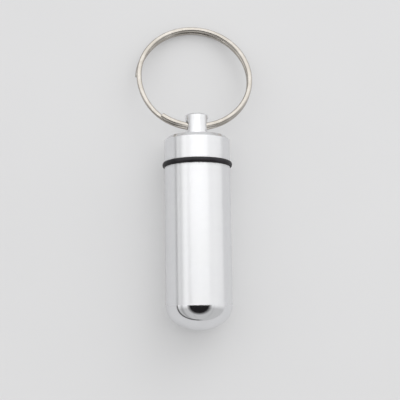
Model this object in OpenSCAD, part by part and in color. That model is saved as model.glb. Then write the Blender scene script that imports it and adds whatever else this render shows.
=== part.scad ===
// Pill capsule for a key ring: a turned aluminium tube with one domed end, a screw cap with a
// rubber sealing ring under it, and a two-turn split ring through the knob on the cap.
// Millimetres. The capsule lies along Y with its cap towards +Y. Its sealing ring and the far
// end of the split ring both touch the plane Z = 0.

/* [Capsule body] */
// Outer diameter of the capsule
body_d = 14; // [12:0.1:20]
// Length of the straight barrel between the dome and the open rim
barrel_len = 29.36; // [20:0.01:60]
// How far the domed end reaches past the barrel
dome_h = 5.2; // [4.6:0.1:6.5]
// Radius of the curve that turns the barrel into the dome
knuckle_r = 4.4; // [3:0.1:5]
// Thickness of metal between the point of the bore and the tip of the dome
end_wall = 1.6; // [1:0.1:2.5]
// Thickness of the wall outside the thread at the open rim
rim_wall = 0.98; // [0.7:0.02:1.5]
// Bevel on the outer edges of the rim and of the cap's lower edge
edge_bevel = 0.1; // [0.05:0.05:0.35]

/* [Screw thread] */
// Distance that the cap rises in one turn
thread_pitch = 1; // [0.75:0.05:1.25]
// Length of the thread on the cap
thread_len = 5; // [3:0.1:7]
// Extra thread in the body below the end of the cap's thread
thread_runout = 0.9; // [0.5:0.1:2]
// Radial play between the two threads
thread_play = 0.1; // [0.08:0.01:0.14]
// Play along the axis on each flank of the thread
flank_play = 0.06; // [0.05:0.005:0.08]

/* [Cap] */
// Height of the cap's grip above the sealing ring
cap_h = 5.5; // [4:0.1:12]
// Bevel round the top of the cap
top_bevel = 0.8; // [0.4:0.05:1.5]
// Bevel at the lower end of the threaded stem
stem_bevel = 0.5; // [0.2:0.05:0.8]

/* [Knob] */
// Diameter of the knob on top of the cap
knob_d = 4.9; // [4.4:0.1:7]
// Height of metal left above and below the knob's cross hole
knob_land = 1; // [0.8:0.05:2]
// Bevel round the top of the knob
knob_bevel = 0.3; // [0.1:0.05:0.6]
// Play between the split ring and the wall of the cross hole
hole_play = 0.25; // [0.2:0.01:0.5]
// How far the countersinks at the mouths of the cross hole widen it all round
hole_flare = 0.3; // [0.1:0.05:0.5]

/* [Sealing ring] */
// Thickness of the sealing ring as it is squeezed between cap and body
seal_t = 0.98; // [0.8:0.01:1.2]
// Width of the squeezed sealing ring across its section
seal_w = 1.5; // [1.4:0.01:1.8]
// How far the sealing ring stands out past the capsule
seal_stand = 0.45; // [0.3:0.01:0.7]
// Play between the sealing ring and the collar that it sits on
seal_play = 0.05; // [0.03:0.01:0.1]

/* [Split ring] */
// Outer diameter of the split ring
ring_od = 25.6; // [20:0.1:35]
// Width of the wire across the ring
wire_w = 1.15; // [1:0.05:1.6]
// Thickness of the wire along the ring's axis
wire_t = 1; // [1:0.05:1.3]
// Rounding on the edges of the wire
wire_round = 0.48; // [0.15:0.01:0.48]
// Gap between the two turns
turn_gap = 0.06; // [0.04:0.01:0.2]
// Where the wire leaves the upper turn, in degrees round from +X
ramp_at = 180; // [150:1:200]
// Arc over which the wire drops to the lower turn, in degrees
ramp_span = 51; // [35:1:55]
// How far the free end of the lower turn springs outwards
end_spring = 0.25; // [0:0.01:0.4]

/* [Hidden] */
$fn = 96;
// How far a cut runs on past the surface that it opens
over = 1;

// Capsule: measured along its axis from the foot of the dome, which is height 0
body_r = body_d / 2;
crown_r = (body_r * body_r - 2 * body_r * knuckle_r + dome_h * dome_h) / (2 * (dome_h - knuckle_r));
crown_span = atan2(body_r - knuckle_r, crown_r - dome_h);
// Degrees by which the knuckle's slice reaches into the crown and the barrel
slice_lap = 12;

// Thread of 60 degrees: a groove in the body from bore_r out to groove_r, with half flats of a
// sixteenth of the pitch at its root and an eighth at its crest, and a ridge on the cap inside it
flank_slope = tan(30);
root_flat = thread_pitch / 16;
crest_flat = thread_pitch / 8;
thread_depth = (thread_pitch / 2 - root_flat - crest_flat) / flank_slope;
groove_r = body_r - rim_wall;
bore_r = groove_r - thread_depth;
ridge_r = groove_r - thread_play;
core_r = bore_r - thread_play;
steps_per_turn = 30;
// Part of a turn over which each end of the ridge fades away
fade_turns = 0.15;
// How far the thread's own solid reaches past the surface that it joins
sunk = 0.12;
// The mouth of the bore is bevelled a little past the root of the thread
mouth_bevel = thread_depth + sunk / 2;

// Drilled bore with the point of the drill at its end
drill_point_half = 59;
bore_tip_z = end_wall - dome_h;
bore_end_z = bore_tip_z + bore_r / tan(drill_point_half);

// Cap: the flange rests on the sealing ring, and the collar inside the ring stops above the rim
flange_z = barrel_len + seal_t;
cap_top_z = flange_z + cap_h;
seal_r = body_r + seal_stand;
collar_gap = 0.1;
collar_r = seal_r - seal_w - seal_play;
collar_z = barrel_len + collar_gap;
ridge_top_z = barrel_len - thread_pitch / 2;
stem_z = ridge_top_z - thread_len - stem_bevel;

// Split ring: two turns of flat wire with rounded edges
ring_r = (ring_od - wire_w) / 2;
ring_t = 2 * wire_t + turn_gap;
turn_rise = (wire_t + turn_gap) / 2;
// Degrees left free between each end of the wire and the ramp
end_gap = 1.5;
// Degrees over which the free end springs outwards
spring_span = 45;
ring_steps_per_turn = 60;
corner_steps = 3;
// Corner points of the wire's section, with its four edges rounded
wire_section = [for (c = [0:3], i = [0:corner_steps])
    let (a = 90 * (c - 1) + 90 * i / corner_steps,
        side = c < 2 ? 1 : -1, level = c == 1 || c == 2 ? 1 : -1)
    [side * (wire_w / 2 - wire_round) + wire_round * cos(a),
        level * (wire_t / 2 - wire_round) + wire_round * sin(a)]];

// Knob: the cross hole takes the ring's section, which bows by knob_bow inside the knob
knob_r = knob_d / 2;
knob_bow = ring_r - sqrt(ring_r * ring_r - knob_r * knob_r);
hole_r = norm([wire_w + knob_bow, ring_t]) / 2 + hole_play;
hinge_z = cap_top_z + knob_land + hole_r;
knob_top_z = hinge_z + hole_r + knob_land;
knob_foot = 0.2;

// Rest: the split ring's centre is ring_arm from its hinge, and the ring slopes down until its
// far end touches the plane Z = 0. The whole part is centred on Y = 0
ring_arm = ring_r - knob_bow / 2;
far_u = ring_arm + ring_od / 2 - wire_round;
far_v = ring_t / 2 - wire_round;
ring_slope = asin((seal_r - wire_round) / norm([far_u, far_v])) - atan2(far_v, far_u);
far_y = hinge_z + far_u * cos(ring_slope) + far_v * sin(ring_slope) + wire_round;
axis_y = (dome_h - far_y) / 2;
axis_z = seal_r;

// Stands the capsule's axis along +Y at its resting height
module lying() {
    translate([0, axis_y, axis_z])
        rotate([-90, 0, 0])
            children();
}

// Slice of a disc between two directions less than 180 degrees apart. The fan of four triangles
// that cuts it out reaches twice as far as the disc, so that its outer edges stay clear of it
module slice(centre, r, from, to) {
    reach = 2 * r;
    translate(centre)
        intersection() {
            circle(r);
            polygon(concat([[0, 0]],
                [for (i = [0:4]) let (a = from + (to - from) * i / 4) [reach * cos(a), reach * sin(a)]]));
        }
}

// Solid tube: rings holds the corner points of each cross section in turn
module swept(rings) {
    n = len(rings[0]);
    last = (len(rings) - 1) * n;
    sides = [for (k = [0:len(rings) - 2], i = [0:n - 1])
        let (a = k * n + i, b = k * n + (i + 1) % n)
        each [[a, b, b + n], [a, b + n, a + n]]];
    ends = [[for (i = [n - 1:-1:0]) i], [for (i = [0:n - 1]) last + i]];
    polyhedron(points = [for (r = rings) each r], faces = concat(sides, ends), convexity = 10);
}

// Half width of the thread groove at radius r
function groove_half(r) = root_flat + (groove_r - r) * flank_slope;

// Rises from 0 to 1 as t passes from 0 to 1
function eased(t) = let (c = min(max(t, 0), 1)) c * c * (3 - 2 * c);

// One section of a helical thread, height z, turned to match, with its crest at radius crest
function thread_section(z, inner, crest, play) =
    let (a = 360 * z / thread_pitch)
    [for (p = [[inner, -1], [crest, -1], [crest, 1], [inner, 1]])
        [p[0] * cos(a), p[0] * sin(a), z + p[1] * (groove_half(p[0]) - play)]];

// Helical groove that cuts the thread into the body, running out past the open rim
module thread_cutter() {
    low = ridge_top_z - thread_len - thread_runout;
    high = barrel_len + thread_pitch;
    n = ceil((high - low) / thread_pitch * steps_per_turn);
    swept([for (i = [0:n]) thread_section(low + (high - low) * i / n, bore_r - sunk, groove_r, 0)]);
}

// Helical ridge of the cap's thread, which fades into the core at both ends
module thread_ridge() {
    low = ridge_top_z - thread_len;
    n = ceil(thread_len / thread_pitch * steps_per_turn);
    fade = fade_turns * thread_pitch;
    hidden_r = core_r - sunk / 2;
    swept([for (i = [0:n])
        let (z = low + thread_len * i / n, near = min(z - low, ridge_top_z - z))
        thread_section(z, core_r - sunk, hidden_r + (ridge_r - hidden_r) * eased(near / fade), flank_play)]);
}

// Outline of the domed end: a crown and a knuckle curve that meet smoothly. The knuckle's slice
// reaches a little way into the crown and the barrel, so that the three join as one piece
module dome_section() {
    slice([0, crown_r - dome_h], crown_r, -90, crown_span - 90);
    slice([body_r - knuckle_r, 0], knuckle_r, crown_span - 90 - slice_lap, slice_lap);
}

// Half section of the body: barrel and dome less the bore, its drill point and its mouth
module body_section() {
    difference() {
        union() {
            dome_section();
            polygon([[0, 0], [body_r, 0], [body_r, barrel_len - edge_bevel],
                [body_r - edge_bevel, barrel_len], [0, barrel_len]]);
        }
        polygon([[0, bore_tip_z], [bore_r, bore_end_z], [bore_r, barrel_len - mouth_bevel],
            [bore_r + mouth_bevel, barrel_len],
            [bore_r + mouth_bevel, barrel_len + over], [0, barrel_len + over]]);
    }
}

// Half section of the cap: threaded stem, collar, grip and knob
module cap_section() {
    polygon([
        [0, stem_z], [core_r - stem_bevel, stem_z], [core_r, stem_z + stem_bevel],
        [core_r, collar_z], [collar_r, collar_z], [collar_r, flange_z],
        [body_r - edge_bevel, flange_z], [body_r, flange_z + edge_bevel],
        [body_r, cap_top_z - top_bevel], [body_r - top_bevel, cap_top_z],
        [knob_r + knob_foot, cap_top_z], [knob_r, cap_top_z + knob_foot],
        [knob_r, knob_top_z - knob_bevel], [knob_r - knob_bevel, knob_top_z], [0, knob_top_z]]);
}

// Cross hole through the knob with a countersink at each mouth
module knob_hole() {
    // The countersink is twice as deep as it is wide, and runs on as far outside the knob
    sink = 2 * hole_flare;
    translate([0, 0, hinge_z])
        rotate([0, 90, 0]) {
            cylinder(h = knob_d + 2 * over, r = hole_r, center = true);
            for (side = [0, 1])
                mirror([0, 0, side])
                    translate([0, 0, knob_r - sink])
                        cylinder(h = 2 * sink, r1 = hole_r, r2 = hole_r + 2 * hole_flare);
        }
}

module capsule_body() {
    color("gainsboro")
        lying()
            difference() {
                rotate_extrude()
                    body_section();
                thread_cutter();
            }
}

module screw_cap() {
    color("lightgray")
        lying() {
            difference() {
                rotate_extrude()
                    cap_section();
                knob_hole();
            }
            thread_ridge();
        }
}

// Round rubber ring squeezed flat between the cap's flange and the rim of the body
module o_ring() {
    color("black")
        lying()
            rotate_extrude()
                translate([seal_r - seal_w / 2, barrel_len + seal_t / 2])
                    intersection() {
                        circle(d = seal_w);
                        square([seal_w + over, seal_t], center = true);
                    }
}

// Height of the wire's centre line at angle a, which runs on past 360 for the second turn
function wire_height(a) = turn_rise * (1 - 2 * eased((a - ramp_at - 360) / ramp_span));

// Radius of the wire's centre line at angle a
function wire_radius(a) = ring_r + end_spring * eased((a - ramp_at - 720 + spring_span) / spring_span);

module split_ring() {
    start = ramp_at + ramp_span + end_gap;
    stop = ramp_at + 720 - end_gap;
    n = ceil((stop - start) / 360 * ring_steps_per_turn);
    color("tan")
        translate([0, axis_y + hinge_z, axis_z])
            rotate([-ring_slope, 0, 0])
                translate([0, ring_arm, 0])
                    swept([for (i = [0:n])
                        let (a = start + (stop - start) * i / n, r = wire_radius(a), h = wire_height(a))
                        [for (p = wire_section) [(r + p[0]) * cos(a), (r + p[0]) * sin(a), h + p[1]]]]);
}

capsule_body();
screw_cap();
o_ring();
split_ring();
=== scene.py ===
# Looks of a pill capsule on a split ring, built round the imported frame
import math

import bmesh
import bpy
from mathutils import Matrix, Vector


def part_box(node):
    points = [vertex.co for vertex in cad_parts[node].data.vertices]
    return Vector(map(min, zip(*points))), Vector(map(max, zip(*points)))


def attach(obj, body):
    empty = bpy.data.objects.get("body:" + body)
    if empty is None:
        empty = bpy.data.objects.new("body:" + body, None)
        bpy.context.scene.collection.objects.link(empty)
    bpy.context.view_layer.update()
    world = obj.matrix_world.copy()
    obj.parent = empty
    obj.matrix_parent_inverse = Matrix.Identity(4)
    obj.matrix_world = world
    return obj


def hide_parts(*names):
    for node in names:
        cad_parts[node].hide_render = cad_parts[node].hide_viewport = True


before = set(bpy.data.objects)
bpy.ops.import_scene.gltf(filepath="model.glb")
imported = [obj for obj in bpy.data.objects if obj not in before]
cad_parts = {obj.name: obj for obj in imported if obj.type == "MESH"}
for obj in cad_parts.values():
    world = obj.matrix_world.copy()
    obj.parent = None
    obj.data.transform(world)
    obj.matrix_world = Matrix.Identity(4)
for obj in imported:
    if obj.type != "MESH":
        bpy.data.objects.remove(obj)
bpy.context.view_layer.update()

# Sizes and places are in millimetres, and heights run along the capsule's axis from the foot of
# the dome, as in the CAD source
MM = 0.001

# Sizes read from the frame
BODY_LO, BODY_HI = (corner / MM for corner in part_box("capsule_body"))
SEAL_LO, SEAL_HI = (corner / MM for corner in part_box("o_ring"))
CAP_LO, CAP_HI = (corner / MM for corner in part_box("screw_cap"))
BODY_R = (BODY_HI.x - BODY_LO.x) / 2
SEAL_R = (SEAL_HI.z - SEAL_LO.z) / 2
AXIS_Z = (BODY_HI.z + BODY_LO.z) / 2

# Capsule body
DOME_H = 5.2
KNUCKLE_R = 4.4
CROWN_R = (BODY_R ** 2 - 2 * BODY_R * KNUCKLE_R + DOME_H ** 2) / (2 * (DOME_H - KNUCKLE_R))
CROWN_SPAN = math.atan2(BODY_R - KNUCKLE_R, CROWN_R - DOME_H)
FOOT_Y = BODY_LO.y + DOME_H
RIM_H = BODY_HI.y - FOOT_Y
END_WALL = 1.6
RIM_WALL = 0.98
EDGE_BEVEL = 0.1
DRILL_POINT = math.radians(59)

# Screw thread
PITCH = 1.0
THREAD_LEN = 5.0
THREAD_RUNOUT = 0.9
THREAD_PLAY = 0.1
FLANK_PLAY = 0.06
FLANK_SLOPE = math.tan(math.radians(30))
ROOT_FLAT = PITCH / 16
THREAD_DEPTH = (PITCH / 2 - ROOT_FLAT - PITCH / 8) / FLANK_SLOPE
GROOVE_R = BODY_R - RIM_WALL
BORE_R = GROOVE_R - THREAD_DEPTH
RIDGE_R = GROOVE_R - THREAD_PLAY
CORE_R = BORE_R - THREAD_PLAY
MOUTH_OVER = 0.06
MOUTH_BEVEL = THREAD_DEPTH + MOUTH_OVER
RIDGE_FADE = 0.15 * PITCH
GROOVE_FADE = 0.5 * PITCH
RIDGE_TOP_H = RIM_H - PITCH / 2
GROOVE_LOW_H = RIDGE_TOP_H - THREAD_LEN - THREAD_RUNOUT

# Cap and knob
FLANGE_H = SEAL_HI.y - FOOT_Y
KNOB_TOP_H = CAP_HI.y - FOOT_Y
STEM_H = CAP_LO.y - FOOT_Y
CAP_H = 5.5
CAP_TOP_H = FLANGE_H + CAP_H
TOP_BEVEL = 0.8
STEM_BEVEL = 0.5
COLLAR_R = 5.64
COLLAR_GAP = 0.1
COLLAR_H = RIM_H + COLLAR_GAP
KNOB_R = 2.45
KNOB_BEVEL = 0.3
KNOB_FOOT = 0.2
HINGE_H = (CAP_TOP_H + KNOB_TOP_H) / 2
FINISH_MARGIN = 0.02

# Sealing ring
SEAL_T = SEAL_HI.y - SEAL_LO.y
SEAL_W = 1.5

# Split ring
RING_OD = 25.6
WIRE_W = 1.15
WIRE_T = 1.0
WIRE_ROUND = 0.48
WIRE_TRIM = 0.022
TURN_GAP = 0.06
TURN_RISE = (WIRE_T + TURN_GAP) / 2
RING_T = 2 * WIRE_T + TURN_GAP
RING_R = (RING_OD - WIRE_W) / 2
RAMP_AT = 180
RAMP_SPAN = 51
END_SPRING = 0.25
SPRING_SPAN = 45
END_GAP = 1.5
KNOB_BOW = RING_R - math.sqrt(RING_R ** 2 - KNOB_R ** 2)
RING_ARM = RING_R - KNOB_BOW / 2
FAR_U = RING_ARM + RING_OD / 2 - WIRE_ROUND
FAR_V = RING_T / 2 - WIRE_ROUND
RING_SLOPE = math.asin((SEAL_R - WIRE_ROUND) / math.hypot(FAR_U, FAR_V)) - math.atan2(FAR_V, FAR_U)

# Cross hole in the knob, wide enough for the bowed wire of both turns
HOLE_PLAY = 0.25
HOLE_R = math.hypot(WIRE_W + KNOB_BOW, RING_T) / 2 + HOLE_PLAY
HOLE_FLARE = 0.3

# Fineness of the meshes
SEGMENTS = 256
CROWN_STEPS = 14
KNUCKLE_STEPS = 32
GROOVE_ROWS = 16
HOLE_STEPS = 96
SEAL_STEPS = 16
WIRE_STEPS_PER_TURN = 240
WIRE_CORNER_STEPS = 6
TINY = 1e-6
WELD = 2e-7
SHARP = math.radians(30)

# Rounded edges, which take up at most a share of each side, and the points that hold flats flat
FILLET = 0.06
FILLET_STEPS = 4
FILLET_SHARE = 0.45
SUPPORT = 0.04

# Softened ends of the wire: their length, and shares of it with the size of the section there
WIRE_SOFT_END = 0.08
WIRE_SOFT_SIZES = ((0, 0.8), (0.35, 0.93), (1, 1.0))

# Turning marks come in wider bands of this many. Reflections are drawn out along the axis by a
# tangent round it, turned by this share of a full turn
BAND_MARKS = 9
STRETCH_TURN = 0.25

# Scratches in the metal, with scales in cells per metre and widths in shares of a cell
SCRATCH_SCALE = 170
SCRATCH_WIDTH = 0.006
SCRATCH_DEPTH = 0.0012
SCRATCH_ROUGHNESS = 0.12
WARP_SCALE = 90
WARP_SHARE = 0.004

# Lines drawn along the wire, and the map that they follow
DRAWN_PITCH = 0.09
WIRE_MAP = "wire"

# Camera fitted to the photograph, with its focal length and frame in pixels
FOCAL_PX = 900
FRAME_PX = 400
CAMERA_PLACE = (-21.2, -33.0, 195.9)
CAMERA_TILT = math.radians(8.06)
CAMERA_YAW = math.radians(6.5)
CAMERA_ROLL = math.radians(0.11)
CAMERA_CLIP = (10, 20000)

# Floor, and the light that it adds for the camera and for reflections
FLOOR_REACH = 3000
SHEET_SEEN = 0.21
SHEET_MIRRORED = 0.165

# Light tent, by direction, with angles in degrees from overhead towards +X. A seam is its angle,
# half its width and the share of the light that it takes
RING_SIDE = (-0.3, 0.4)
DOME_SIDE_LIGHT = 0.55
RING_SIDE_LIGHT = 1.31
CROWN_LIGHT = 0.36
CROWN_RISE = (-76, -50)
CROWN_FALL = (15, 65)
SEAMS = ((-69, 8, 0.36), (-30, 6, 0.08), (45, 6, 0.12))
TENT_SEEN = 0.72

# Dim strip of the tent, as ranges of a direction and of what it gives: its height from the dome's
# side to the ring's, its soft edge, and its depth where it ends and farthest out on the -X side
STRIP_HEIGHT = ((-0.3, 0.3), (0.06, 0.02))
STRIP_EDGE = ((0.04, 0.07), (1, 0))
STRIP_END = ((-0.05, 0.15), (0.85, 0))
STRIP_FAR = ((-0.97, -0.75), (0.75, 0.88))

# Dark card, half an oval, and the share of its reach at which it starts to thin out
CARD_MIDDLE = -37
CARD_NEAR = -28
CARD_HEIGHT = 250
CARD_HALF_WIDTH = 245
CARD_LENGTH = 335
CARD_STEP = 5
CARD_SOLID = 0.62


def eased(t):
    """Rises smoothly from 0 to 1 as t passes from 0 to 1."""
    c = min(max(t, 0.0), 1.0)
    return c * c * (3 - 2 * c)


def on_axis(height, radius, angle):
    """Point of the capsule at a height along its axis, turned by angle from +X towards -Z."""
    return Vector((radius * math.cos(angle), FOOT_Y + height, AXIS_Z - radius * math.sin(angle))) * MM


def across_knob(reach, radius, angle):
    """Point at a reach along +X from the capsule's axis, turned round the cross hole's own axis."""
    height = HINGE_H + radius * math.cos(angle)
    return Vector((reach, FOOT_Y + height, AXIS_Z + radius * math.sin(angle))) * MM


def rounded(points):
    """Outline through the points with each inner corner rounded, and with support points beside
    the roundings so that flat stretches shade flat."""
    pts = [Vector(p) for p in points]
    out = [pts[0]]
    for before, corner, after in zip(pts, pts[1:], pts[2:]):
        back, ahead = before - corner, after - corner
        half = back.angle(ahead) / 2
        reach = min(FILLET / math.tan(half), back.length * FILLET_SHARE, ahead.length * FILLET_SHARE)
        back.normalize()
        ahead.normalize()
        start, stop = corner + back * reach, corner + ahead * reach
        centre = corner + (back + ahead).normalized() * (reach / math.cos(half))
        if (start - out[-1]).length > 2 * SUPPORT:
            out.append(start + back * SUPPORT)
        spread = math.pi - 2 * half
        for i in range(FILLET_STEPS + 1):
            t = i / FILLET_STEPS
            arm = (start - centre) * math.sin((1 - t) * spread) + (stop - centre) * math.sin(t * spread)
            out.append(centre + arm / math.sin(spread))
        if (after - stop).length > 3 * SUPPORT:
            out.append(stop + ahead * SUPPORT)
    out.append(pts[-1])
    return [tuple(p) for p in out]


def join_rings(bm, a, b, slot):
    """Band of faces between two rings of vertices, either of which may be a single one."""
    count = max(len(a), len(b))
    for j in range(count):
        k = (j + 1) % count
        if len(a) == 1:
            corners = (a[0], b[j], b[k])
        elif len(b) == 1:
            corners = (a[j], b[0], a[k])
        else:
            corners = (a[j], b[j], b[k], a[k])
        bm.faces.new(corners).material_index = slot


def add_skin(bm, profile, slot=0, slot_at=None, place=on_axis, count=SEGMENTS):
    """Turns an outline of (distance along the axis, radius) points round an axis. Its material slot
    is slot, or for each band what slot_at says for the band's middle."""
    rings = []
    for along, radius in profile:
        around = 1 if radius < TINY else count
        rings.append([bm.verts.new(place(along, radius, 2 * math.pi * j / count)) for j in range(around)])
    for i in range(len(rings) - 1):
        (along, radius), (next_along, next_radius) = profile[i], profile[i + 1]
        if slot_at:
            slot = slot_at((along + next_along) / 2, (radius + next_radius) / 2)
        join_rings(bm, rings[i], rings[i + 1], slot)


def add_threaded_skin(bm, offsets, low, high, radius_at, slot=0):
    """Skin between two heights whose rows of vertices climb one pitch in each turn, at the given
    parts of a pitch from the middle of the thread, so that its corners lie on mesh edges."""
    rows = []
    for turn in range(math.floor(low / PITCH) - 2, math.ceil(high / PITCH) + 3):
        for offset in offsets:
            row = []
            for j in range(SEGMENTS):
                height = min(max(PITCH * (turn + j / SEGMENTS + offset), low), high)
                phase = height / PITCH - j / SEGMENTS
                radius = radius_at(height, phase - math.floor(phase + 0.5))
                row.append(bm.verts.new(on_axis(height, radius, 2 * math.pi * j / SEGMENTS)))
            rows.append(row)
    step = len(offsets)
    for m in range(len(rows) - 1):
        for j in range(SEGMENTS - 1):
            corners = (rows[m][j], rows[m + 1][j], rows[m + 1][j + 1], rows[m][j + 1])
            bm.faces.new(corners).material_index = slot
        if m + 1 + step < len(rows):
            corners = (rows[m][-1], rows[m + 1][-1], rows[m + 1 + step][0], rows[m + step][0])
            bm.faces.new(corners).material_index = slot


def new_object(bm, name):
    """Object in the scene with the mesh that was built."""
    mesh = bpy.data.meshes.new(name)
    bm.to_mesh(mesh)
    bm.free()
    thing = bpy.data.objects.new(name, mesh)
    bpy.context.scene.collection.objects.link(thing)
    return thing


def finished(bm, name, body, nodes, materials):
    """Welds and closes a mesh, and makes the piece that stands for these CAD nodes."""
    bmesh.ops.remove_doubles(bm, verts=bm.verts, dist=WELD)
    bmesh.ops.dissolve_degenerate(bm, edges=bm.edges, dist=WELD)
    loose = [v for v in bm.verts if not v.link_faces]
    bmesh.ops.delete(bm, geom=loose, context="VERTS")
    bmesh.ops.recalc_face_normals(bm, faces=bm.faces)
    piece = new_object(bm, name)
    for material in materials:
        piece.data.materials.append(material)
    shade(piece.data)
    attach(piece, body)
    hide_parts(*nodes)
    return piece


def shade(mesh):
    """Smooth shading that keeps the sharp edges."""
    mesh.shade_smooth()
    mesh.set_sharp_from_angle(angle=SHARP)


# Shader nodes

def new_material(name):
    """Material with its emptied node tree and its Principled shader."""
    material = bpy.data.materials.new(name)
    material.use_nodes = True
    tree = material.node_tree
    tree.nodes.clear()
    output = tree.nodes.new("ShaderNodeOutputMaterial")
    shader = tree.nodes.new("ShaderNodeBsdfPrincipled")
    tree.links.new(shader.outputs["BSDF"], output.inputs["Surface"])
    return material, tree, shader


def math_node(tree, operation, *values):
    """Result of a Math node whose inputs are numbers or sockets."""
    node = tree.nodes.new("ShaderNodeMath")
    node.operation = operation
    for socket, value in zip(node.inputs, values):
        if isinstance(value, (int, float)):
            socket.default_value = value
        else:
            tree.links.new(value, socket)
    return node.outputs[0]


def hypotenuse(tree, a, b):
    """Root of the sum of two squares."""
    squares = [math_node(tree, "MULTIPLY", side, side) for side in (a, b)]
    return math_node(tree, "SQRT", math_node(tree, "ADD", *squares))


def darkened(tree, level, share):
    """Level with a share of it taken off."""
    return math_node(tree, "MULTIPLY", level, math_node(tree, "SUBTRACT", 1.0, share))


def parts(tree, vector):
    """The three sockets of a vector's parts."""
    split = tree.nodes.new("ShaderNodeSeparateXYZ")
    tree.links.new(vector, split.inputs[0])
    return split.outputs


def noise_1d(tree, value, detail=2.0):
    """Noise that varies with one number."""
    node = tree.nodes.new("ShaderNodeTexNoise")
    node.noise_dimensions = "1D"
    tree.links.new(value, node.inputs["W"])
    node.inputs["Scale"].default_value = 1.0
    node.inputs["Detail"].default_value = detail
    return node.outputs["Fac"]


def noise_3d(tree, place, blob, detail=3.0, distortion=0.0):
    """Noise with blobs about as large as blob says in millimetres."""
    node = tree.nodes.new("ShaderNodeTexNoise")
    tree.links.new(place, node.inputs["Vector"])
    node.inputs["Scale"].default_value = 1 / (blob * MM)
    node.inputs["Detail"].default_value = detail
    node.inputs["Distortion"].default_value = distortion
    return node.outputs["Fac"]


def between(tree, value, source, target):
    """Value mapped from the source range to the target range and held inside it."""
    node = tree.nodes.new("ShaderNodeMapRange")
    node.clamp = True
    tree.links.new(value, node.inputs["Value"])
    for name, number in zip(("From Min", "From Max", "To Min", "To Max"), (*source, *target)):
        node.inputs[name].default_value = number
    return node.outputs["Result"]


def tinted(tree, value, low, high):
    """Colour between two colours."""
    node = tree.nodes.new("ShaderNodeMix")
    node.data_type = "RGBA"
    tree.links.new(value, node.inputs["Factor"])
    node.inputs["A"].default_value = (*low, 1)
    node.inputs["B"].default_value = (*high, 1)
    return node.outputs["Result"]


def bump(tree, height, depth, below=None):
    """Bump of a height from 0 to 1 over a depth in millimetres, on top of another one if given."""
    node = tree.nodes.new("ShaderNodeBump")
    node.inputs["Strength"].default_value = 1.0
    node.inputs["Distance"].default_value = depth * MM
    tree.links.new(height, node.inputs["Height"])
    if below is not None:
        tree.links.new(below, node.inputs["Normal"])
    return node.outputs["Normal"]


def object_place(tree):
    """Object coordinates, which are the row frame at rest."""
    return tree.nodes.new("ShaderNodeTexCoord").outputs["Object"]


def turned_coordinate(tree, place):
    """Millimetres along the turned outline: along the axis on a cylinder, outwards on a face."""
    x, y, z = parts(tree, place)
    radius = hypotenuse(tree, x, math_node(tree, "SUBTRACT", z, AXIS_Z * MM))
    return math_node(tree, "MULTIPLY", math_node(tree, "SUBTRACT", y, radius), 1 / MM)


# Materials

def metal(name, colours, roughness, mark_pitch, mark_depth, stretch=0.0):
    """Turned metal: two close colours in soft blobs, a roughness that varies with the turning
    marks and with handling, fine marks round the axis and a few hairline scratches. Stretch
    draws its reflections out along the axis."""
    material, tree, shader = new_material(name)
    place = object_place(tree)
    along = turned_coordinate(tree, place)
    marks = noise_1d(tree, math_node(tree, "DIVIDE", along, mark_pitch))
    bands = noise_1d(tree, math_node(tree, "DIVIDE", along, BAND_MARKS * mark_pitch), detail=3.0)
    handled = noise_3d(tree, place, blob=5.0, detail=4.0, distortion=0.4)
    scratch = hairlines(tree, place)
    colour = tinted(tree, between(tree, handled, (0.35, 0.65), (0, 1)), *colours)
    wear = math_node(tree, "MULTIPLY", math_node(tree, "ADD", handled, bands), 0.5)
    rough = math_node(tree, "ADD", between(tree, wear, (0.38, 0.62), roughness),
                      math_node(tree, "MULTIPLY", scratch, SCRATCH_ROUGHNESS))
    grooves = bump(tree, marks, mark_depth)
    scratched = bump(tree, math_node(tree, "SUBTRACT", 1.0, scratch), SCRATCH_DEPTH, grooves)
    tree.links.new(colour, shader.inputs["Base Color"])
    tree.links.new(rough, shader.inputs["Roughness"])
    tree.links.new(scratched, shader.inputs["Normal"])
    shader.inputs["Metallic"].default_value = 1.0
    if stretch:
        tangent = tree.nodes.new("ShaderNodeTangent")
        tangent.direction_type = "RADIAL"
        tangent.axis = "Y"
        tree.links.new(tangent.outputs[0], shader.inputs["Tangent"])
        shader.inputs["Anisotropic"].default_value = stretch
        shader.inputs["Anisotropic Rotation"].default_value = STRETCH_TURN
    return material


def hairlines(tree, place):
    """1 on a few thin scratches and 0 elsewhere: edges of large warped cells, in some patches."""
    warp = tree.nodes.new("ShaderNodeTexNoise")
    warp.inputs["Scale"].default_value = WARP_SCALE
    tree.links.new(place, warp.inputs["Vector"])
    warped = tree.nodes.new("ShaderNodeMix")
    warped.data_type = "VECTOR"
    warped.inputs["Factor"].default_value = WARP_SHARE
    tree.links.new(place, warped.inputs["A"])
    tree.links.new(warp.outputs["Color"], warped.inputs["B"])
    cells = tree.nodes.new("ShaderNodeTexVoronoi")
    cells.feature = "DISTANCE_TO_EDGE"
    cells.inputs["Scale"].default_value = SCRATCH_SCALE
    tree.links.new(warped.outputs["Result"], cells.inputs["Vector"])
    line = between(tree, cells.outputs["Distance"], (0, SCRATCH_WIDTH), (1, 0))
    patches = between(tree, noise_3d(tree, place, blob=2.6, detail=2.0), (0.56, 0.62), (0, 1))
    return math_node(tree, "MULTIPLY", line, patches)


def turned_aluminium():
    """Brushed outside of the barrel and the cap."""
    return metal("turned_aluminium", colours=((0.93, 0.935, 0.95), (0.965, 0.97, 0.98)),
                 roughness=(0.34, 0.38), mark_pitch=0.07, mark_depth=0.0009, stretch=1.0)


def polished_aluminium():
    """Bright dome of the body."""
    return metal("polished_aluminium", colours=((0.84, 0.845, 0.86), (0.88, 0.885, 0.9)),
                 roughness=(0.06, 0.09), mark_pitch=0.05, mark_depth=0.0002)


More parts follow.
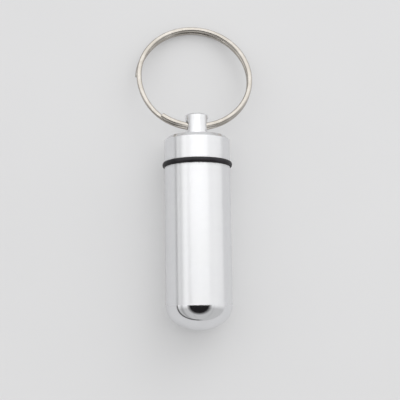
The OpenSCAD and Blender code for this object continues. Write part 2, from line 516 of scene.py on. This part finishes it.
def shaded_edge_aluminium():
    """Smoothed bevel and end faces of the cap: less rough for the smoother finish, with a base colour
    darker than the turned metal as painted shade.
    """
    # Colours darker than the turned metal's: painted shade on the cap's end faces, bevel and knob end
    return metal("shaded_edge_aluminium", colours=((0.80, 0.805, 0.82), (0.85, 0.855, 0.87)),
                 roughness=(0.2, 0.27), mark_pitch=0.05, mark_depth=0.0004)


def bored_aluminium():
    """Inside of the body and its thread, with coarser marks."""
    return metal("bored_aluminium", colours=((0.80, 0.805, 0.82), (0.88, 0.885, 0.9)),
                 roughness=(0.26, 0.38), mark_pitch=0.12, mark_depth=0.004, stretch=0.4)


def black_rubber():
    """Moulded black rubber with a satin skin and fine grain."""
    material, tree, shader = new_material("black_rubber")
    place = object_place(tree)
    grain = noise_3d(tree, place, blob=0.12, detail=4.0)
    dust = noise_3d(tree, place, blob=1.6, detail=5.0, distortion=0.6)
    dusted = between(tree, dust, (0.4, 0.7), (0, 1))
    colour = tinted(tree, dusted, (0.007, 0.006, 0.008), (0.018, 0.016, 0.019))
    tree.links.new(colour, shader.inputs["Base Color"])
    tree.links.new(between(tree, dust, (0.3, 0.7), (0.42, 0.58)), shader.inputs["Roughness"])
    tree.links.new(bump(tree, grain, 0.006), shader.inputs["Normal"])
    shader.inputs["Specular IOR Level"].default_value = 0.3
    return material


def nickel_plate():
    """Nickel-plated wire: warm, with faint lines drawn along it and duller patches."""
    material, tree, shader = new_material("nickel_plate")
    wire = tree.nodes.new("ShaderNodeUVMap")
    wire.uv_map = WIRE_MAP
    _, across, _ = parts(tree, wire.outputs[0])
    drawn = noise_1d(tree, math_node(tree, "DIVIDE", across, DRAWN_PITCH), detail=3.0)
    patches = noise_3d(tree, object_place(tree), blob=2.2, detail=4.0, distortion=0.5)
    worn = between(tree, patches, (0.35, 0.68), (0, 1))
    colour = tinted(tree, worn, (0.45, 0.42, 0.378), (0.55, 0.52, 0.478))
    tree.links.new(colour, shader.inputs["Base Color"])
    tree.links.new(between(tree, patches, (0.3, 0.7), (0.09, 0.16)), shader.inputs["Roughness"])
    tree.links.new(bump(tree, drawn, 0.0016), shader.inputs["Normal"])
    shader.inputs["Metallic"].default_value = 1.0
    return material


# Pieces

def dome_outline():
    """Crown and knuckle of the domed end, from its tip to the barrel."""
    centre = CROWN_R - DOME_H
    outline = []
    for i in range(CROWN_STEPS):
        tilt = CROWN_SPAN * i / CROWN_STEPS
        outline.append((centre - CROWN_R * math.cos(tilt), CROWN_R * math.sin(tilt)))
    for i in range(KNUCKLE_STEPS + 1):
        tilt = CROWN_SPAN + (math.pi / 2 - CROWN_SPAN) * i / KNUCKLE_STEPS
        outline.append((-KNUCKLE_R * math.cos(tilt), BODY_R - KNUCKLE_R + KNUCKLE_R * math.sin(tilt)))
    return outline


def groove_radius(height, phase):
    """Radius of the body's inner thread, which opens into the bevelled mouth."""
    half = abs(phase) * PITCH
    depth = THREAD_DEPTH - (half - ROOT_FLAT) / FLANK_SLOPE
    depth = min(max(depth, 0.0), THREAD_DEPTH) * eased((height - GROOVE_LOW_H) / GROOVE_FADE)
    return BORE_R + max(depth, MOUTH_BEVEL - (RIM_H - height))


def ridge_radius(height, phase):
    """Radius of the cap's thread, which fades into the core at both ends."""
    core = CORE_R - max(0.0, STEM_H + STEM_BEVEL - height)
    half = abs(phase) * PITCH + FLANK_PLAY
    rise = GROOVE_R - (half - ROOT_FLAT) / FLANK_SLOPE
    middle = height - phase * PITCH
    near = min(middle - RIDGE_TOP_H + THREAD_LEN, RIDGE_TOP_H - middle)
    return core + max(min(rise, RIDGE_R) - core, 0.0) * eased(near / RIDGE_FADE)


def make_capsule_body(materials):
    """Tube with a polished dome, a bore down to a drill point and a thread inside its mouth."""
    barrel_slot, dome_slot, bore_slot = range(3)
    bm = bmesh.new()
    add_skin(bm, dome_outline(), dome_slot)
    mouth_r = BORE_R + MOUTH_BEVEL
    outside = rounded([(0, BODY_R), (RIM_H - EDGE_BEVEL, BODY_R), (RIM_H, BODY_R - EDGE_BEVEL),
                       (RIM_H, mouth_r)])
    add_skin(bm, outside[:1] + [(SUPPORT, BODY_R)] + outside[1:], barrel_slot)
    offsets = [i / GROOVE_ROWS - 0.5 for i in range(GROOVE_ROWS)]
    add_threaded_skin(bm, offsets, GROOVE_LOW_H, RIM_H, groove_radius, bore_slot)
    tip_h = END_WALL - DOME_H
    cone_h = BORE_R / math.tan(DRILL_POINT)
    add_skin(bm, rounded([(GROOVE_LOW_H, BORE_R), (tip_h + cone_h, BORE_R), (tip_h, 0)]), bore_slot)
    finished(bm, "turned_capsule_body", "capsule", ["capsule_body"], materials)


def hole_cutter():
    """Cross hole through the knob with a countersink at each mouth."""
    sink = 2 * HOLE_FLARE
    deep = KNOB_R - sink
    out = KNOB_R + sink
    wide = HOLE_R + sink
    bm = bmesh.new()
    outline = [(-out, 0), (-out, wide), (-deep, HOLE_R), (deep, HOLE_R), (out, wide), (out, 0)]
    add_skin(bm, outline, place=across_knob, count=HOLE_STEPS)
    bmesh.ops.recalc_face_normals(bm, faces=bm.faces)
    return new_object(bm, "hole_cutter")


def drill(piece, cutter):
    """Takes the cutter's space out of a piece for good, and the cutter away."""
    cut = piece.modifiers.new("cross_hole", "BOOLEAN")
    cut.operation = "DIFFERENCE"
    cut.solver = "EXACT"
    cut.object = cutter
    bpy.context.view_layer.update()
    whole = piece.data
    seen = piece.evaluated_get(bpy.context.evaluated_depsgraph_get())
    piece.data = bpy.data.meshes.new_from_object(seen)
    piece.data.name = piece.name
    piece.modifiers.clear()
    bpy.data.meshes.remove(whole)
    bpy.data.objects.remove(cutter)
    shade(piece.data)


def cap_finish(height, radius):
    """Slot of the cap's outside: the end face of its grip up to a margin beside the knob, the bevel round
    that and the end of the knob have the smoother edge finish with painted shade, 1, and the rest is
    turned, 0."""
    on_end = height > CAP_TOP_H - TOP_BEVEL and radius > KNOB_R + FINISH_MARGIN
    return int(on_end or height > KNOB_TOP_H - KNOB_BEVEL)


def make_screw_cap(materials):
    """Threaded stem, collar, flange, grip and cross-drilled knob of the cap."""
    crest = (ROOT_FLAT + (GROOVE_R - RIDGE_R) * FLANK_SLOPE - FLANK_PLAY) / PITCH
    foot = (ROOT_FLAT + (GROOVE_R - CORE_R) * FLANK_SLOPE - FLANK_PLAY) / PITCH
    flank = (crest + foot) / 2
    bm = bmesh.new()
    add_skin(bm, [(STEM_H, 0), (STEM_H, CORE_R - STEM_BEVEL)])
    offsets = [-0.5, -foot, -flank, -crest, 0, crest, flank, foot]
    add_threaded_skin(bm, offsets, STEM_H, COLLAR_H, ridge_radius)
    add_skin(bm, rounded([
        (COLLAR_H, CORE_R), (COLLAR_H, COLLAR_R), (FLANGE_H, COLLAR_R),
        (FLANGE_H, BODY_R - EDGE_BEVEL), (FLANGE_H + EDGE_BEVEL, BODY_R),
        (CAP_TOP_H - TOP_BEVEL, BODY_R), (CAP_TOP_H, BODY_R - TOP_BEVEL),
        (CAP_TOP_H, KNOB_R + KNOB_FOOT), (CAP_TOP_H + KNOB_FOOT, KNOB_R),
        (KNOB_TOP_H - KNOB_BEVEL, KNOB_R), (KNOB_TOP_H, KNOB_R - KNOB_BEVEL), (KNOB_TOP_H, 0)
    ]), slot_at=cap_finish)
    cap = finished(bm, "turned_screw_cap", "cap", ["screw_cap"], materials)
    drill(cap, hole_cutter())


def make_o_ring(materials):
    """Round rubber ring squeezed flat between the cap's flange and the rim of the body."""
    bm = bmesh.new()
    half_w, half_t = SEAL_W / 2, SEAL_T / 2
    middle_h, middle_r = RIM_H + half_t, SEAL_R - half_w
    reach = math.asin(half_t / half_w)
    outline = []
    for side in (1, -1):
        for i in range(SEAL_STEPS + 1):
            a = side * reach * (2 * i / SEAL_STEPS - 1)
            outline.append((middle_h + half_w * math.sin(a), middle_r + side * half_w * math.cos(a)))
    add_skin(bm, outline + outline[:1])
    finished(bm, "rubber_o_ring", "seal", ["o_ring"], materials)


def wire_outline():
    """Points round the wire's section, outwards and upwards from its centre line. The section is
    a hair smaller all round, because the facets of the CAD's ring fall short of their circle."""
    flat_w, flat_t = WIRE_W / 2 - WIRE_ROUND, WIRE_T / 2 - WIRE_ROUND
    radius = WIRE_ROUND - WIRE_TRIM
    points = []
    for corner, (side, level) in enumerate(((1, -1), (1, 1), (-1, 1), (-1, -1))):
        for i in range(WIRE_CORNER_STEPS + 1):
            a = math.pi / 2 * (corner - 1 + i / WIRE_CORNER_STEPS)
            points.append((side * flat_w + radius * math.cos(a), level * flat_t + radius * math.sin(a)))
    return points


def wire_place(turn_deg, out, up):
    """Point beside the wire's centre line at an angle, which runs on past 360 in the second turn."""
    radius = RING_R + END_SPRING * eased((turn_deg - RAMP_AT - 720 + SPRING_SPAN) / SPRING_SPAN) + out
    height = TURN_RISE * (1 - 2 * eased((turn_deg - RAMP_AT - 360) / RAMP_SPAN)) + up
    a = math.radians(turn_deg)
    flat = Vector((radius * math.cos(a), radius * math.sin(a) + RING_ARM, height))
    hinge = Vector((0, FOOT_Y + HINGE_H, AXIS_Z))
    return (hinge + Matrix.Rotation(-RING_SLOPE, 3, "X") @ flat) * MM


def make_split_ring(materials):
    """Two turns of wire swept round the ring's axis, with softened ends."""
    start, stop = RAMP_AT + RAMP_SPAN + END_GAP, RAMP_AT + 720 - END_GAP
    count = math.ceil((stop - start) / 360 * WIRE_STEPS_PER_TURN)
    soft = math.degrees(WIRE_SOFT_END / RING_R)
    stations = [(start + share * soft, size) for share, size in WIRE_SOFT_SIZES]
    stations += [(start + soft + (stop - start - 2 * soft) * i / count, 1.0) for i in range(1, count)]
    stations += [(stop - share * soft, size) for share, size in reversed(WIRE_SOFT_SIZES)]
    outline = wire_outline()
    around = len(outline)
    bm = bmesh.new()
    uv = bm.loops.layers.uv.new(WIRE_MAP)
    rings = [[bm.verts.new(wire_place(turn, size * out, size * up)) for out, up in outline]
             for turn, size in stations]
    girth = 2 * (WIRE_W + WIRE_T) - (8 - 2 * math.pi) * WIRE_ROUND
    for k in range(len(rings) - 1):
        for i in range(around):
            corners = ((k, i), (k, i + 1), (k + 1, i + 1), (k + 1, i))
            face = bm.faces.new([rings[ring][point % around] for ring, point in corners])
            for loop, (ring, point) in zip(face.loops, corners):
                loop[uv].uv = (math.radians(stations[ring][0]) * RING_R, point / around * girth)
    bm.faces.new(rings[0])
    bm.faces.new(rings[-1])
    finished(bm, "wound_split_ring", "key_ring", ["split_ring"], materials)


# Camera, floor and light

def placed(name, data, place, right, up, back):
    """Object with its data, at a place in millimetres, turned by its three unit axes."""
    thing = bpy.data.objects.new(name, data)
    turn = Matrix((right, up, back)).transposed().to_4x4()
    thing.matrix_world = Matrix.Translation(Vector(place) * MM) @ turn
    bpy.context.scene.collection.objects.link(thing)
    return thing


def flat_piece(name, corners, material):
    """Flat piece of the set through its corners in millimetres."""
    bm = bmesh.new()
    bm.faces.new([bm.verts.new(Vector(corner) * MM) for corner in corners])
    piece = new_object(bm, name)
    piece.data.materials.append(material)
    return piece


def towards(unit, other, angle):
    """Unit vector turned by an angle towards another one that is square to it."""
    return unit * math.cos(angle) + other * math.sin(angle)


def make_camera():
    """Looks down on the lying capsule, turned and tilted as in the photograph."""
    data = bpy.data.cameras.new("photo_camera")
    data.lens = data.sensor_width * FOCAL_PX / FRAME_PX
    data.clip_start, data.clip_end = (reach * MM for reach in CAMERA_CLIP)
    down = Vector((0, math.sin(CAMERA_TILT), -math.cos(CAMERA_TILT)))
    up = Vector((0, math.cos(CAMERA_TILT), math.sin(CAMERA_TILT)))
    right = Vector((1, 0, 0))
    ahead, right = towards(down, right, CAMERA_YAW), towards(right, -down, CAMERA_YAW)
    right, up = towards(right, up, CAMERA_ROLL), towards(up, -right, CAMERA_ROLL)
    bpy.context.scene.camera = placed("photo_camera", data, CAMERA_PLACE, right, up, -ahead)


def pale_sheet():
    """Pale sheet that adds light of its own for the camera and for reflections, so that the
    object's shadow on it stays light."""
    material, tree, shader = new_material("pale_sheet")
    cloud = noise_3d(tree, object_place(tree), blob=30.0)
    colour = tinted(tree, cloud, (0.42, 0.42, 0.424), (0.44, 0.44, 0.444))
    tree.links.new(colour, shader.inputs["Base Color"])
    rays = tree.nodes.new("ShaderNodeLightPath")
    glow = math_node(tree, "ADD",
                     math_node(tree, "MULTIPLY", rays.outputs["Is Camera Ray"], SHEET_SEEN),
                     math_node(tree, "MULTIPLY", rays.outputs["Is Glossy Ray"], SHEET_MIRRORED))
    tree.links.new(glow, shader.inputs["Emission Strength"])
    shader.inputs["Emission Color"].default_value = (1, 1, 1, 1)
    shader.inputs["Roughness"].default_value = 0.9
    shader.inputs["Specular IOR Level"].default_value = 0.1
    return material


def make_floor():
    """Large flat sheet under the object."""
    corners = [(x * FLOOR_REACH, y * FLOOR_REACH, 0) for x, y in ((-1, -1), (1, -1), (1, 1), (-1, 1))]
    flat_piece("floor", corners, pale_sheet())


def make_world():
    """Light tent of soft panels with a dim strip low down. The camera sees it plain."""
    world = bpy.data.worlds.new("tent")
    bpy.context.scene.world = world
    world.use_nodes = True
    tree = world.node_tree
    tree.nodes.clear()
    output = tree.nodes.new("ShaderNodeOutputWorld")
    background = tree.nodes.new("ShaderNodeBackground")
    background.inputs["Color"].default_value = (1, 1, 1, 1)
    tree.links.new(background.outputs[0], output.inputs["Surface"])
    x, y, z = parts(tree, tree.nodes.new("ShaderNodeTexCoord").outputs["Generated"])
    level = darkened(tree, panels(tree, x, y, z), dim_strip(tree, x, y, z))
    shown = tree.nodes.new("ShaderNodeMix")
    tree.links.new(tree.nodes.new("ShaderNodeLightPath").outputs["Is Camera Ray"], shown.inputs["Factor"])
    tree.links.new(level, shown.inputs["A"])
    shown.inputs["B"].default_value = TENT_SEEN
    tree.links.new(shown.outputs["Result"], background.inputs["Strength"])


def panels(tree, x, y, z):
    """Light of the panels: dimmer beyond the dome, brighter beyond the key ring and brightest
    there overhead and on the -X side, with a darker seam at each angle of SEAMS."""
    tilt = math_node(tree, "DEGREES", math_node(tree, "ARCTAN2", x, z))
    ring_side = between(tree, y, RING_SIDE, (0, 1))
    level = between(tree, ring_side, (0, 1), (DOME_SIDE_LIGHT, RING_SIDE_LIGHT))
    crown = math_node(tree, "MULTIPLY", between(tree, tilt, CROWN_RISE, (0, CROWN_LIGHT)),
                      between(tree, tilt, CROWN_FALL, (1, 0)))
    level = math_node(tree, "ADD", level, math_node(tree, "MULTIPLY", crown, ring_side))
    for seam, half_width, depth in SEAMS:
        off = math_node(tree, "ABSOLUTE", math_node(tree, "SUBTRACT", tilt, seam))
        level = darkened(tree, level, between(tree, off, (0, half_width), (depth, 0)))
    return level


def dim_strip(tree, x, y, z):
    """Share of the light that is missing in a strip just over the horizon, round the -X side
    from end to end."""
    height = between(tree, y, *STRIP_HEIGHT)
    off = math_node(tree, "ABSOLUTE", math_node(tree, "SUBTRACT", z, height))
    depth = math_node(tree, "MINIMUM", between(tree, x, *STRIP_END), between(tree, x, *STRIP_FAR))
    return math_node(tree, "MULTIPLY", between(tree, off, *STRIP_EDGE), depth)


def make_lamp(name, place, width, length, watts, mirrored):
    """Soft box that faces the object. Metal shows it only if it is mirrored."""
    data = bpy.data.lights.new(name, "AREA")
    data.shape = "RECTANGLE"
    data.size, data.size_y = width * MM, length * MM
    data.energy = watts
    back = Vector(place).normalized()
    right = Vector((0, 1, 0)).cross(back).normalized()
    placed(name, data, place, right, back.cross(right), back).visible_glossy = mirrored


def dark_felt():
    """Dull dark felt that thins out towards the card's curved edge."""
    material, tree, shader = new_material("dark_card")
    x, y, _ = parts(tree, object_place(tree))
    across = math_node(tree, "SUBTRACT", x, CARD_MIDDLE * MM)
    along = math_node(tree, "SUBTRACT", y, CARD_NEAR * MM)
    reach = hypotenuse(tree, math_node(tree, "DIVIDE", across, CARD_HALF_WIDTH * MM),
                       math_node(tree, "DIVIDE", along, CARD_LENGTH * MM))
    tree.links.new(between(tree, reach, (CARD_SOLID, 1), (1, 0)), shader.inputs["Alpha"])
    shader.inputs["Base Color"].default_value = (0.03, 0.028, 0.03, 1)
    shader.inputs["Roughness"].default_value = 1.0
    shader.inputs["Specular IOR Level"].default_value = 0.0
    return material


def make_card():
    """Dark card overhead beyond the dome, half an oval, which only reflections show."""
    corners = []
    for degrees in range(0, 181, CARD_STEP):
        a = math.radians(degrees)
        across, along = CARD_HALF_WIDTH * math.cos(a), CARD_LENGTH * math.sin(a)
        corners.append((CARD_MIDDLE + across, CARD_NEAR - along, CARD_HEIGHT))
    card = flat_piece("dark_card", corners, dark_felt())
    card.visible_camera = False
    card.visible_diffuse = False
    card.visible_shadow = False


turned = turned_aluminium()
make_capsule_body([turned, polished_aluminium(), bored_aluminium()])
make_screw_cap([turned, shaded_edge_aluminium()])
make_o_ring([black_rubber()])
make_split_ring([nickel_plate()])

make_camera()
make_floor()
make_world()
make_lamp("key", place=(-11, 6, 480), width=577, length=56, watts=0.24, mirrored=True)
make_lamp("side", place=(230, 400, 300), width=420, length=420, watts=0.8, mirrored=False)
make_card()
bpy.context.scene.view_settings.view_transform = "Standard"
